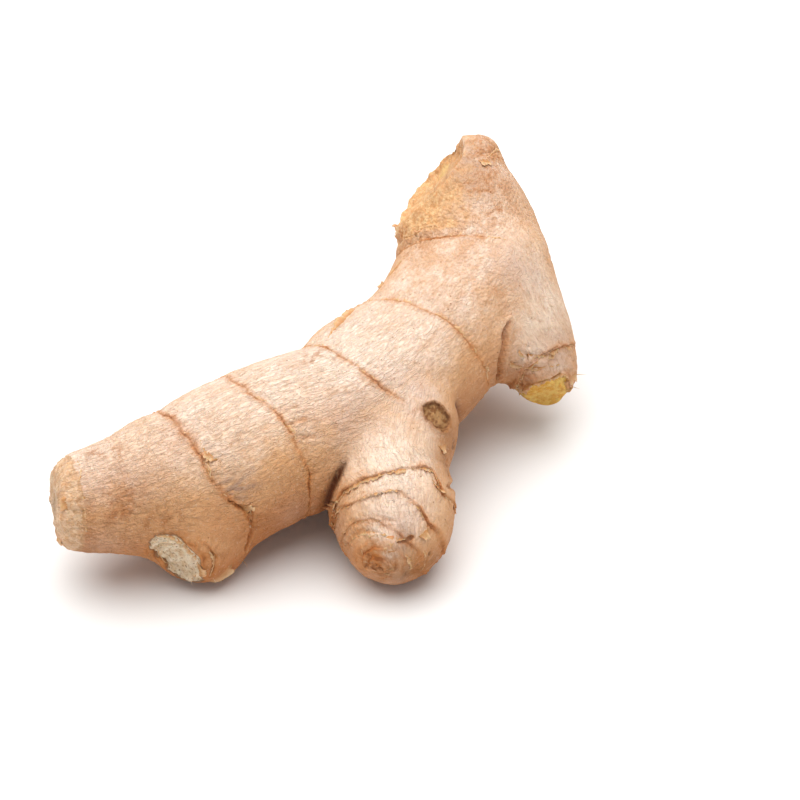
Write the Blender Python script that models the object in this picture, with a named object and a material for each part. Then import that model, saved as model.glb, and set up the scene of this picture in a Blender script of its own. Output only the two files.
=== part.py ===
"""A whole fresh ginger root: one branching rhizome, grown as one piece.

The root lies on a level surface on three low points. Its main finger rises from
a broken left end, bends back and up, and ends in a second broken face. Two knobs
grow toward the front, one hangs down on the right and one grows at the back.
The skin carries the ring scars of old leaves, a pit and the scars of buds.

+X runs to the right, +Y away from the front, +Z up, and the origin is at the
bottom, below the middle of the root. Tables are in millimetres; the finished
mesh is in metres.
"""
import math

import bmesh
import bpy
import numpy as np

NODE = "ginger_rhizome"
MM = 0.001

# Middle of the root's outline on the surface, moved to the origin
MIDDLE = (2.3, 2.0)

# Each finger is a smooth curve of balls: x, y, z and radius of its guide points
FINGERS = {
    "main": [
        (-57, -40.6, 21.2, 6.4), (-53, -40, 20.8, 8.2), (-48, -38.6, 20, 9.8),
        (-40, -35.6, 19, 12), (-31, -32, 18.3, 14.4), (-22, -28, 18.8, 16.3),
        (-9.5, -21, 20.2, 17.5), (8, -12, 21.5, 17.3), (24, 6, 24.5, 16.6),
        (33, 21, 29, 17), (34.6, 31, 34, 16.2), (35.6, 35.5, 39.5, 12.6),
        (36, 39.5, 44, 8.8), (36.6, 45, 49.6, 4.8)],
    "broken_stump": [(33, 33, 38, 11), (25.5, 41.5, 44.5, 11.8)],
    "right_knob": [(40, 22, 34, 11.5), (46.5, 14, 24, 10), (50, 11, 16.5, 8.7), (51.5, 9, 12, 5.2)],
    "back_knob": [(9, 2, 19, 11.5), (11, 19.5, 13, 10.2), (18, 21.5, 9.6, 10.2)],
    "left_knob": [(-19.5, -29, 17, 13), (-23, -36.1, 10.5, 11.2)],
    "front_knob": [(17.5, -15, 20, 14), (15.6, -25, 16.5, 13.7), (16.8, -31.3, 13.1, 13.7), (17.8, -37.4, 11.2, 11.4)],
}
# How far each finger blends into the rest of the root
BLENDS = {"broken_stump": 5, "right_knob": 6, "back_knob": 9, "left_knob": 4, "front_knob": 3}
GUIDE_STEP = 1.0

# Rings round a finger: place along it, lean toward the front and the top, height, width
RINGS = {
    "main": [
        (18.4, -0.2, 0, 0.4, 1.2), (37, 0.09, -0.27, 0.7, 1.1), (50.8, 0.25, -0.04, 0.8, 1.1),
        (74.7, 0.15, -0.21, 0.8, 1.1), (94.6, 0.13, -0.02, 0.7, 1.1),
        (121.4, -0.03, -0.15, 0.7, 1.1), (145.5, 0, 0, 0.5, 0.9)],
    "right_knob": [(25.7, -0.32, -0.71, 0.7, 1.2)],
    "back_knob": [(15, 0, 0, 0.6, 1.1), (25, 0.1, 0.2, 0.5, 1)],
    "front_knob": [
        (22.4, -0.17, -0.53, 0.8, 1.1), (29.3, -0.51, -0.47, 0.7, 1.1), (35.2, -0.65, -0.33, 0.5, 1)],
}
# The finger is a little slimmer at each ring and swells between
WAIST_DEPTH, WAIST_WIDTH = 0.4, 4.0
# How far a ring wavers along the finger, and how far off the finger's own surface it fades out
RING_WAVER, RING_FADE = 0.5, 3.0

# Flat and broken faces: a point on the face, its outward direction, how far it reaches
# before it bends away from the skin, depth of its hollow, softness of its rim
FACE_BEND = 8.0
BREAKS = {
    "left_end": ((-52.4, -39.8, 20.5), (-0.955, -0.25, 0.12), 14, 0, 4),
    "upper_break": ((26.4, 40.7, 43.5), (-0.74, 0.202, 0.642), 10.5, 0.8, 1.8),
    "left_knob_scar": ((-26.4, -45.6, 10.7), (-0.32, -0.94, -0.05), 4.5, 0.2, 0.8),
    "right_knob_tip": ((50.9, 3.8, 14.2), (0.1, -0.9, -0.4), 6, 0.2, 0.8),
}

# Old bud scars: middle, radius, depth of the hollow, height of its rim
PITS = {
    "bud_scar": ((26.3, -20.2, 27.8), 2.9, 0.9, 0.8),
    "side_scar": ((30.6, -20.5, 18.5), 3.0, 0.9, 0.4),
    "under_scar": ((2, -16, 4.2), 2.6, 0.6, 0.4),
    "back_scar": ((-26, -14.5, 24), 2.2, 0.6, 0.4),
}

# Slow bumps all over the skin
LUMP_HEIGHT, LUMP_COUNT, LUMP_SEED = 0.25, 14, 7
LUMP_LENGTHS = (14.0, 34.0)

# Height over the surface below which the relief fades, so that the feet are smooth
FOOT_HEIGHT = 4.0

# Fineness of the skin in its rounds of settling, smoothing before and passes in each
SKIN_VOXELS, EVEN_ROUNDS, SETTLE_PASSES = (1.4, 0.9), 3, 3
KEPT_TRIANGLES = 9000
SLOPE_STEP = 0.05

SKIN_COLOUR = (0.70, 0.47, 0.29, 1.0)
SKIN_ROUGHNESS = 0.62


def curve_through(points, step):
    """A smooth curve through guide points, with a sample about every step."""
    knots = np.array(points, float)
    knots = np.vstack([2 * knots[0] - knots[1], knots, 2 * knots[-1] - knots[-2]])
    samples = []
    for i in range(1, len(knots) - 2):
        before, start, end, after = knots[i - 1:i + 3]
        bend = 2 * before - 5 * start + 4 * end - after
        twist = 3 * start - before - 3 * end + after
        count = max(2, int(np.linalg.norm((end - start)[:3]) / step))
        for t in np.arange(count) / count:
            samples.append(start + 0.5 * ((end - before) * t + bend * t ** 2 + twist * t ** 3))
    samples.append(knots[-2])
    return np.array(samples)


class Finger:
    """One branch of the root, with its rings."""

    def __init__(self, name):
        samples = curve_through(FINGERS[name], GUIDE_STEP)
        self.centre, self.radius = samples[:, :3], samples[:, 3]
        gaps = np.linalg.norm(np.diff(self.centre, axis=0), axis=1)
        self.along = np.concatenate([[0.0], np.cumsum(gaps)])
        forward = np.gradient(self.centre, self.along, axis=0)
        self.forward = forward / np.linalg.norm(forward, axis=1)[:, None]
        front = np.cross(self.forward, (0, 0, 1))
        self.front = front / np.linalg.norm(front, axis=1)[:, None]
        self.top = np.cross(self.front, self.forward)
        self.rings = RINGS.get(name, [])
        self.blend = BLENDS.get(name, 0)

    def measure(self, points):
        """Distance from the smooth finger, place along it, and direction round it."""
        squares = (points ** 2).sum(1)[:, None] + (self.centre ** 2).sum(1) - 2 * points @ self.centre.T
        gap = np.sqrt(np.maximum(squares, 0)) - self.radius
        near = gap.argmin(1)
        arm = points - self.centre[near]
        along = self.along[near] + (arm * self.forward[near]).sum(1)
        front = (arm * self.front[near]).sum(1)
        top = (arm * self.top[near]).sum(1)
        reach = np.maximum(np.hypot(front, top), 0.01)
        return gap[np.arange(len(points)), near], along, front / reach, top / reach, self.radius[near]

    def ring_height(self, points, distance):
        """Height of the finger's rings and waists over a skin at the given distance."""
        own, along, front, top, radius = self.measure(points)
        height = np.zeros(len(points))
        for place, lean_front, lean_top, peak, width in self.rings:
            off = along - place - radius * (lean_front * front + lean_top * top)
            off -= RING_WAVER * np.sin(5 * front + 4 * top + place)
            height += peak * np.exp(-(off / width) ** 2) - WAIST_DEPTH * np.exp(-(off / WAIST_WIDTH) ** 2)
        return height * np.exp(-((own - distance) / RING_FADE) ** 2)


def blend_union(a, b, width):
    """The nearer of two distances, rounded where they meet."""
    mix = np.maximum(width - np.abs(a - b), 0) / width
    return np.minimum(a, b) - mix ** 2 * width / 4


def blend_cut(a, b, width):
    """The farther of two distances, rounded where they meet."""
    return -blend_union(-a, -b, width)


def lump_waves():
    """Directions, lengths and phases of the slow bumps."""
    random = np.random.default_rng(LUMP_SEED)
    directions = random.normal(size=(LUMP_COUNT, 3))
    directions /= np.linalg.norm(directions, axis=1)[:, None]
    lengths = random.uniform(*LUMP_LENGTHS, LUMP_COUNT)
    phases = random.uniform(0, 2 * math.pi, LUMP_COUNT)
    return directions.T * (2 * math.pi / lengths), phases


ROOT = [Finger(name) for name in FINGERS]
WAVES, PHASES = lump_waves()


def smooth_distance(points):
    """Distance outside the fingers alone, joined and smooth."""
    distance = ROOT[0].measure(points)[0]
    for finger in ROOT[1:]:
        distance = blend_union(distance, finger.measure(points)[0], finger.blend)
    return distance


def skin_distance(points):
    """Distance outside the finished skin, in millimetres, for each point."""
    plain = smooth_distance(points)
    height = LUMP_HEIGHT * np.sin(points @ WAVES + PHASES).mean(1) * math.sqrt(LUMP_COUNT)
    for finger in ROOT:
        if finger.rings:
            height += finger.ring_height(points, plain)
    for middle, radius, depth, rim in PITS.values():
        away = np.linalg.norm(points - middle, axis=1) / radius
        height += rim * np.exp(-((away - 1.1) / 0.35) ** 2) - depth * np.exp(-(away / 0.8) ** 2)
    distance = plain - height * np.clip(points[:, 2] / FOOT_HEIGHT, 0, 1)
    for point, outward, reach, hollow, softness in BREAKS.values():
        outward = np.array(outward) / np.linalg.norm(outward)
        arm = points - point
        face = arm @ outward
        off = np.linalg.norm(arm - face[:, None] * outward, axis=1)
        beyond = np.maximum(off - reach, 0)
        face = face + hollow * (1 - (off / reach) ** 2) - beyond * (1 + beyond / FACE_BEND)
        distance = blend_cut(distance, face, softness)
    return distance


def settle(points):
    """Points moved along the slope of the distance until they lie on the skin."""
    for _ in range(SETTLE_PASSES):
        here = skin_distance(points)
        slope = np.stack([
            (skin_distance(points + SLOPE_STEP * np.eye(3)[axis]) - here) / SLOPE_STEP
            for axis in range(3)], 1)
        points = points - slope * (here / np.maximum((slope ** 2).sum(1), 0.25))[:, None]
    return points


def ball_object():
    """Balls along every finger, in one object, as the first rough shape."""
    rough = bmesh.new()
    for points in FINGERS.values():
        for x, y, z, radius in curve_through(points, 3 * GUIDE_STEP):
            ball = bmesh.ops.create_icosphere(rough, subdivisions=3, radius=radius)
            bmesh.ops.translate(rough, verts=ball["verts"], vec=(x, y, z))
    mesh = bpy.data.meshes.new(NODE)
    rough.to_mesh(mesh)
    rough.free()
    shape = bpy.data.objects.new(NODE, mesh)
    bpy.context.scene.collection.objects.link(shape)
    return shape


def bake_modifiers(shape):
    """Replaces the object's mesh by the one its modifiers give."""
    seen = shape.evaluated_get(bpy.context.evaluated_depsgraph_get())
    baked = bpy.data.meshes.new_from_object(seen)
    old = shape.data
    shape.modifiers.clear()
    shape.data = baked
    bpy.data.meshes.remove(old)
    baked.name = NODE


def cut_feet(shape):
    """Cuts the low points flat at the surface, fills them, and scales to metres."""
    body = bmesh.new()
    body.from_mesh(shape.data)
    bmesh.ops.translate(body, verts=body.verts, vec=(-MIDDLE[0], -MIDDLE[1], 0))
    everything = body.verts[:] + body.edges[:] + body.faces[:]
    bmesh.ops.bisect_plane(
        body, geom=everything, dist=0.02, plane_co=(0, 0, 0), plane_no=(0, 0, 1), clear_inner=True)
    rims = [edge for edge in body.edges if edge.is_boundary]
    bmesh.ops.holes_fill(body, edges=rims)
    bmesh.ops.dissolve_degenerate(body, edges=body.edges, dist=0.02)
    bmesh.ops.triangulate(body, faces=body.faces)
    bmesh.ops.recalc_face_normals(body, faces=body.faces)
    bmesh.ops.scale(body, verts=body.verts, vec=(MM, MM, MM))
    body.to_mesh(shape.data)
    body.free()


def skin_material():
    """Dry tan skin."""
    skin = bpy.data.materials.new("ginger_skin")
    skin.use_nodes = True
    shader = skin.node_tree.nodes["Principled BSDF"]
    shader.inputs["Base Color"].default_value = SKIN_COLOUR
    shader.inputs["Roughness"].default_value = SKIN_ROUGHNESS
    shader.inputs["Metallic"].default_value = 0.0
    return skin


def settled_skin(shape, voxel):
    """One closed skin round the shape, settled on the true surface."""
    remesh = shape.modifiers.new("one_skin", "REMESH")
    remesh.mode = "VOXEL"
    remesh.voxel_size = voxel
    even = shape.modifiers.new("even", "SMOOTH")
    even.iterations = EVEN_ROUNDS
    bake_modifiers(shape)
    points = np.empty(len(shape.data.vertices) * 3, dtype=np.float32)
    shape.data.vertices.foreach_get("co", points)
    points = settle(points.reshape(-1, 3).astype(float))
    shape.data.vertices.foreach_set("co", points.astype(np.float32).ravel())
    shape.data.update()


def build_root():
    """Rough balls, a closed skin settled in two rounds, thinned and set on its feet."""
    shape = ball_object()
    for voxel in SKIN_VOXELS:
        settled_skin(shape, voxel)
    triangles = sum(len(face.vertices) - 2 for face in shape.data.polygons)
    thin = shape.modifiers.new("thin", "DECIMATE")
    thin.ratio = KEPT_TRIANGLES / triangles
    bake_modifiers(shape)
    cut_feet(shape)
    shape.data.shade_smooth()
    shape.data.materials.append(skin_material())
    return shape


def main():
    for thing in list(bpy.data.objects):
        bpy.data.objects.remove(thing, do_unlink=True)
    build_root()


if __name__ == "__main__":
    main()
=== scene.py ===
"""The looks of a whole fresh ginger root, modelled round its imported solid.

The skin is one closed mesh that follows the root's own shape, with its rings, fine
wrinkles, scars and broken faces raised in the mesh. Papery edges, loose flakes and a
few root hairs are pieces of their own. The shape is worked out in millimetres, in the
frame of the tables below; finished meshes are in metres.
"""
import math

import bmesh
import bpy
import numpy as np
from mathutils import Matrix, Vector


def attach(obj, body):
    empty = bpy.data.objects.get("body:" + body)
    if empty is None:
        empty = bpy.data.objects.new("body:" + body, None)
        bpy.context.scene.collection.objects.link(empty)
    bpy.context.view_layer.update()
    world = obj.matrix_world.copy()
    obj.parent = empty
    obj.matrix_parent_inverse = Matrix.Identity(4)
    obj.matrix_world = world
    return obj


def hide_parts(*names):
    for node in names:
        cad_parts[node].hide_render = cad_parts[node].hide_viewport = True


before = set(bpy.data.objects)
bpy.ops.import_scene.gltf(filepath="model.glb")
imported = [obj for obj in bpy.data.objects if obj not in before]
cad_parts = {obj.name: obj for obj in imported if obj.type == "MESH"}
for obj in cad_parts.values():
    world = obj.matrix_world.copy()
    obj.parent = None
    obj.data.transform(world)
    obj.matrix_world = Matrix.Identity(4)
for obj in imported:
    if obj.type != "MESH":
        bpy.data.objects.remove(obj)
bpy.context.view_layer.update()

bpy.ops.object.select_all(action="DESELECT")

NODE = "ginger_rhizome"
BODY = "root"
# Meshes are in metres; the tables and the patterns of the finishes are in millimetres
MM, TO_MM = 0.001, (1000, 1000, 1000)

# Middle of the root's outline on the surface, which lies at the origin
MIDDLE = (2.3, 2.0)

# Each finger is a smooth curve of balls: x, y, z and radius of its guide points
FINGERS = {
    "main": [
        (-57, -40.6, 21.2, 6.4), (-53, -40, 20.8, 8.2), (-48, -38.6, 20, 9.8),
        (-40, -35.6, 19, 12), (-31, -32, 18.3, 14.4), (-22, -28, 18.8, 16.3),
        (-9.5, -21, 20.2, 17.5), (8, -12, 21.5, 17.3), (24, 6, 24.5, 16.6),
        (33, 21, 29, 17), (34.6, 31, 34, 16.2), (35.6, 35.5, 39.5, 12.6),
        (36, 39.5, 44, 8.8), (36.6, 45, 49.6, 4.8)],
    "broken_stump": [(33, 33, 38, 11), (25.5, 41.5, 44.5, 11.8)],
    "right_knob": [(40, 22, 34, 11.5), (46.5, 14, 24, 10), (50, 11, 16.5, 8.7), (51.5, 9, 12, 5.2)],
    "back_knob": [(9, 2, 19, 11.5), (11, 19.5, 13, 10.2), (18, 21.5, 9.6, 10.2)],
    "left_knob": [(-19.5, -29, 17, 13), (-23, -36.1, 10.5, 11.2)],
    "front_knob": [
        (17.5, -15, 20, 14), (15.6, -25, 16.5, 13.7), (16.8, -31.3, 13.1, 13.7), (17.8, -37.4, 11.2, 11.4)],
}
# How far each finger blends into the rest of the root
BLENDS = {"broken_stump": 5, "right_knob": 6, "back_knob": 9, "left_knob": 4, "front_knob": 3}
GUIDE_STEP = 1.0

# Rings round each finger: places along it at angles round it (0 is the front, 90 the
# top), then height of the lip, step down toward the tip, depth of the crack and
# width of the papery edge
RINGS = {
    "main": [
        ({0: 16.2, 60: 17.4, 120: 18.6, 190: 19, 270: 17.4}, 0.12, 0.05, 0.05, 0),
        ({-90: 36.5, -36: 37.4, -19: 39, 4: 39.4, 19: 36.9, 34: 34.7, 55: 34.5, 74: 34.2, 96: 33.5,
            119: 31.8, 170: 32.5, 220: 35}, 0.42, -0.2, 0.4, 1),
        ({-90: 53.5, -40: 54.8, 2: 54.4, 16: 55.4, 36: 53.7, 47: 53.4, 64: 52.3, 76: 50.9, 92: 49.4,
            117: 48.5, 160: 48.6, 210: 50.5}, 0.42, -0.2, 0.4, 0.9),
        ({-90: 77, -45: 78, 0: 77.5, 24: 75.8, 41: 74.2, 54: 73.4, 64: 72, 77: 71.4, 92: 71.2, 114: 70.9,
            133: 69.8, 180: 71, 225: 74}, 0.42, -0.2, 0.45, 0.9),
        ({-60: 97.5, 0: 96.9, 16: 96.1, 53: 96, 76: 94.5, 90: 94.3, 105: 93.5, 135: 92.6, 180: 93.5,
            240: 96}, 0.42, 0.15, 0.35, 0.9),
        ({-60: 122, 12: 121.3, 37: 118.6, 52: 118.6, 70: 119.2, 86: 119.5, 109: 119.7, 133: 119.3,
            180: 119.5, 240: 121}, 0.32, 0.2, 0.5, 0.9),
        ({0: 145.5, 90: 145.5, 180: 147.5, 270: 147}, 0.42, -0.2, 0.3, 0.4),
    ],
    "right_knob": [
        ({-22: 25.8, 20: 19.7, 50: 18.8, 82: 19, 129: 22, 200: 27, 270: 28}, 0.3, 0.5, 0.3, 1.3),
    ],
    "back_knob": [
        ({0: 15, 120: 14.4, 240: 15.6}, 0.25, 0.3, 0.3, 0.6),
        ({0: 26, 90: 23.5, 180: 24.5, 270: 26.5}, 0.2, 0.4, 0.3, 0.7),
    ],
    "front_knob": [
        ({4: 19, 28: 16.8, 46: 15.6, 78: 15.4, 96: 15, 114: 15.5, 124: 15.7, 132: 18.2, 137: 21.3,
            180: 22, 240: 24, 300: 23, 335: 21}, 0.3, 0.6, 0.4, 1.3),
        ({-45: 22, -10: 20, 15: 19.8, 39: 20.8, 54: 21, 80: 21.3, 93: 22.1, 106: 25.3, 126: 29.1,
            160: 31, 220: 30, 270: 27}, 0.25, 0.55, 0.35, 1.2),
        ({0: 25.5, 27: 25.5, 44: 26.6, 60: 27.3, 77: 29.6, 93: 31.9, 120: 34, 180: 35, 240: 33, 300: 29},
            0.2, 0.35, 0.3, 0.8),
    ],
}
# Degrees over which the places of a ring are smoothed
RING_SMOOTHING = 21
# A ring wavers along the finger: length and height of its waves
WAVERS = ((4.5, 0.7), (1.4, 0.28))
# The finger narrows a little at each ring
WAIST_DEPTH, WAIST_WIDTH = 0.4, 4.0
# How fast a ring fades where its finger sinks into another, and the farthest that counts
RING_FADE, RING_FAR = 3.0, 4.0

# Broken faces: point on the face, outward direction, reach, depth of its hollow,
# softness of its rim, depth of its rim under the skin
BREAKS = {
    "left_end": ((-52.4, -39.8, 20.5), (-0.955, -0.25, 0.12), 14, 0, 4, 0.1),
    "upper_break": ((26.4, 40.7, 43.5), (-0.74, 0.202, 0.642), 10.5, 0.5, 1.8, 0.35),
    "left_knob_scar": ((-26.4, -45.6, 10.7), (-0.32, -0.94, -0.05), 4.5, 0.2, 0.8, 0.3),
    "right_knob_tip": ((50.9, 3.8, 14.2), (0.1, -0.9, -0.4), 6, 0.2, 0.8, 0.4),
}
# How soon a broken face bends away past its reach
FACE_BEND = 8.0
# The edge of the skin is jagged: length and height of its jags
RIM_JAGS = ((2.6, 0.8), (0.9, 0.4))

# Where the skin ends round each broken face. The left end is bare up to a place along
# the main finger. The upper break is bare beyond a place along it and left of a plane,
# where the skin thins out softly. The cork of the left knob is an oval with a long and
# a short half-width. The tip of the right knob is bare past an edge round it.
LEFT_EDGE = 8.4
UPPER_EDGE, UPPER_SIDE, UPPER_SOFT = 123.6, 31, 0.22
CORK_MIDDLE, CORK_LONG, CORK_SIZES = (-27.2, -46, 11), (0.5, 0, -0.87), (8, 4.4)
TIP_EDGE = {
    0: 25.5, 11: 24.9, 29: 23.6, 51: 24.4, 69: 23.9, 85: 26.5, 95: 29, 130: 31, 180: 31, 270: 28, 330: 26}
# A pocket of yellow flesh in the upper break: middle, size and depth
POCKET = ((28, 49, 43), 3.0, 0.5)

# Cracks and creases: the points they run through, half-width, depth and darkness; the darkness is partly
# their own brown and partly painted shade in them
CRACKS = {
    "left_crack": ([(-16.6, -42.6, 24.6), (-15.3, -42.9, 23.3), (-13.6, -42.2, 21.8), (-12, -41.6, 20.1),
        (-11.7, -41.8, 17.3), (-12.1, -41.5, 13.6), (-13.1, -41.6, 10.8), (-13.6, -41.4, 7.8)],
        0.24, 1, 1.5),
    "fold_1": ([(-6.3, -27.7, 35.8), (-4.1, -27.2, 36.1), (-1.9, -26.3, 36)], 0.22, 0.25, 0.45),
    "fold_2": ([(-5.2, -30.7, 34.5), (-2.4, -29.8, 34.6), (0.2, -28.4, 34.5)], 0.22, 0.25, 0.5),
    "fold_3": ([(-2.8, -32.6, 32.3), (-0.6, -31.9, 32), (1.9, -30.9, 31.5)], 0.2, 0.2, 0.3),
    "knob_crease": ([(42.2, 4.8, 33.4), (41.5, 3.2, 32.4), (41.1, 1.5, 29.6), (40.4, 0.1, 26.5),
        (40.1, 0.1, 24), (40, 0.6, 21.5), (40.2, 2, 19)], 0.5, 1.9, 1.4),
    "arc_left": ([(5.3, -40, 9.5), (7.3, -42.4, 11.6), (8.2, -43.5, 14.5), (10.1, -44.3, 16.9),
        (12.8, -45.2, 18), (15.2, -45.5, 18)], 0.3, 0.3, 0.45),
    "arc_low": ([(10.5, -45.1, 14.2), (10.7, -46.2, 11.6), (12.4, -47.4, 9.7), (15.6, -48.1, 8.5),
        (18.7, -48.5, 9.2)], 0.3, 0.25, 0.35),
    "arc_tip": ([(12.6, -46.3, 14.6), (12.2, -47.2, 12.2), (14, -47.9, 10.4), (16.6, -48.3, 10),
        (18.6, -48.3, 11.4)], 0.3, 0.3, 0.5),
    "arc_high": ([(7.2, -40.6, 16), (10.1, -42.4, 18.7), (13, -43, 20), (15.6, -43.7, 19.9),
        (18.6, -43.6, 19.4)], 0.3, 0.2, 0.3),
    "knob_fold_1": ([(43.5, 3.5, 27.8), (45.5, 3, 26), (48.5, 2.6, 25.4), (52, 2.8, 25.2)],
        0.4, 0.35, 0.3),
    "knob_fold_2": ([(42, 2.2, 25.2), (44.5, 2.1, 23.2), (48, 2, 22.3), (52, 2.2, 22.6)],
        0.4, 0.35, 0.35),
    "cork_edge": ([(-21.6, -45.2, 15.6), (-19.8, -46, 12.4), (-19.8, -46.2, 9.4), (-21, -46, 6.4)],
        0.3, 0.6, 0.9),
    "side_crack": ([(28.4, -33.6, 20), (29.6, -31, 17.5), (30, -27, 14.5), (30.4, -23, 12)],
        0.4, 0.8, 1),
    "bud_crease": ([(17.4, -46.9, 16.6), (19.3, -46.9, 16.9), (20.9, -46.1, 17.2), (21.6, -45.6, 17)],
        0.25, 0.4, 0.8),
}
# How far off a crack its ends seem to lie, so that it fades out there
END_FADE = 0.9
# Small swellings, one of them the bud of the front knob: middle, radius, height
SWELLINGS = (
    ((16.6, -47, 16.2), 1.5, 1.3), ((14.6, -47.6, 12.6), 2.2, 0.5), ((-20.5, -46, 7), 2.2, 0.5),
    ((26.5, -20.7, 27.9), 1.6, 0.5), ((45.5, 3, 25), 4.2, 1), ((49, 3, 21), 4, 0.5),
)
# Layers of old scales round the tips: middle, reach, spacing, height, darkness
SWIRLS = (
    ((14.2, -47.9, 11.2), 7, 1.9, 0.9, 1), ((50.5, 4, 13), 12, 2.6, 0.5, 0.4),
    ((-26.9, -46, 11), 9, 1.8, 0.55, 0.75), ((20, 31.5, 10), 7.5, 1.9, 0.6, 0.7),
    ((36.4, 44, 50.5), 6, 2.1, 0.35, 0.3),
)
# The first of them are deep enough to need finer faces
FINE_SWIRLS = 3
# Small dark pits: depth of all, then middle and radius of each
SPOT_DEPTH = 0.5
SPOTS = (
    ((7.3, -42.4, 11.6), 0.8), ((14.6, -48.1, 10.5), 0.7), ((11.9, -46.8, 9.6), 0.6),
    ((30.6, -20.5, 19.5), 1.5), ((30.1, -23.6, 21.6), 1), ((31.2, -17, 18), 0.9),
    ((29.3, -26.5, 20.5), 1.3), ((29.6, -24, 21.5), 1), ((29, -28.5, 19), 0.9), ((24.9, -46, 12.2), 0.9),
    ((24.3, -46.5, 10.7), 0.6), ((20.5, 23.5, 40.6), 0.5), ((21.8, 20.8, 41.5), 0.55),
    ((37.6, 38.4, 53.4), 0.6), ((3.2, -37.4, 23), 0.35),
)
# Patches of mauve, brown stain that is partly painted shade, paler skin that is partly a painted highlight,
# painted shade of darker tan, and grey: middle and radius
PATCHES = {
    "mauve": (
        ((-39.9, -44.1, 27.1), 5), ((6.3, -27.7, 33.1), 6), ((14.5, -22.2, 33.9), 8),
        ((22.9, -16.1, 34.2), 5), ((43.5, 12.5, 43), 7), ((47.1, 13.3, 39.7), 5), ((53.9, 5.9, 24.6), 6),
        ((18.7, -43.5, 20.4), 6), ((-26, -33, 33), 4),
    ),
    # Brown stains, some of them painted shade where the skin lies in shade
    "stain_and_shade": (
        ((-38, -45.5, 24), 6), ((-30, -46, 20), 5), ((31, 40, 51), 6), ((33, 33, 51), 6),
        ((38, 33, 51), 5), ((24, 24.5, 44), 4), ((-53, -41, 14), 5), ((-41.9, -34.8, 30.4), 3.5),
        ((-33, -20.5, 30.2), 3), ((1.5, -13, 38.2), 4), ((40.6, 25.5, 48.8), 4), ((-12, -41.6, 15), 4),
        ((6, -40, 14), 4.5), ((26, -21, 24), 4), ((22, 23, 42), 5), ((36, 40, 52), 6),
        ((-47, -46, 22), 5), ((14, -47.5, 12), 5.5), ((31, 30, 51), 5), ((-21, -46, 11), 5),
    ),
    # Paler skin, partly a painted highlight on knob tops that face the light
    "pale": (
        ((17, -33, 25.5), 8), ((18, -42, 20.5), 6), ((50, 11, 31), 9), ((46, 14, 37), 7),
        ((8, -14, 38), 8), ((47.5, 3, 26), 6), ((46, 6, 31), 6), ((53, 5, 21), 4), ((16, -44, 18), 4),
        ((16.5, -47, 14), 2.5), ((-42, -54, 14), 6.5), ((16.4, -54, 5), 6.5), ((0.5, -42, 14), 5.5),
    ),
    # Painted shade: darker tan where shade falls on the sides and undersides of the knobs
    "painted_shade": (
        ((29, -22, 22), 6.5), ((31, -15, 20.5), 6), ((28.5, -27, 21), 5), ((25.5, -21.5, 29), 3.5),
        ((40.5, 1, 22), 5), ((34, -8, 17), 7), ((48, 3, 15), 5), ((-48, -46, 14), 6), ((24, -45, 8), 5),
        ((29.5, -22, 24.5), 4), ((34.5, 32, 55), 9), ((-34, -47, 32), 8),
    ),
    "grey": (
        ((-14.9, -41.1, 26.2), 3.2), ((-11.5, -39.5, 27), 2), ((20, -46, 17), 2.5),
    ),
}

# Old bud scars: middle, radius, depth of the hollow, height of its rim
PITS = {
    "bud_scar": ((26.4, -21.2, 28.4), 4.1, 1, 0.45),
    "under_scar": ((2, -16, 4.2), 2.6, 0.6, 0.4),
    "back_scar": ((-26, -14.5, 24), 2.2, 0.6, 0.4),
}
# How each scar is narrower one way: direction, and how much
PIT_SQUEEZE = {"bud_scar": ((0.55, 0.62, 0.55), 1.75)}

# The hollow between the front knob and the rest, which the finish paints dark as shade: half-width, depth,
# and the heights where it begins, going down, and where it is full
HOLLOW_WIDTH, HOLLOW_DEPTH, HOLLOW_TOP = 1.2, 1.9, (29, 21)

# Papery edges of the rings: steps round a ring, thickness, depth to which they are
# sunk where they are missing, and the share by which they lift
EDGE_STEPS, PAPER, SUNK, EDGE_LIFT = 420, 0.09, 0.5, 0.45
# Section of a papery edge: shares of its width and of its thickness
EDGE_SECTION = ((-0.3, 0), (0.5, 0), (1, 0), (1, 0.5), (0.5, 1), (-0.3, 1))
# How far a ring may move to lie on the open skin, and how often it is moved
RING_REACH, RING_PASSES = 3, 4
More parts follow.
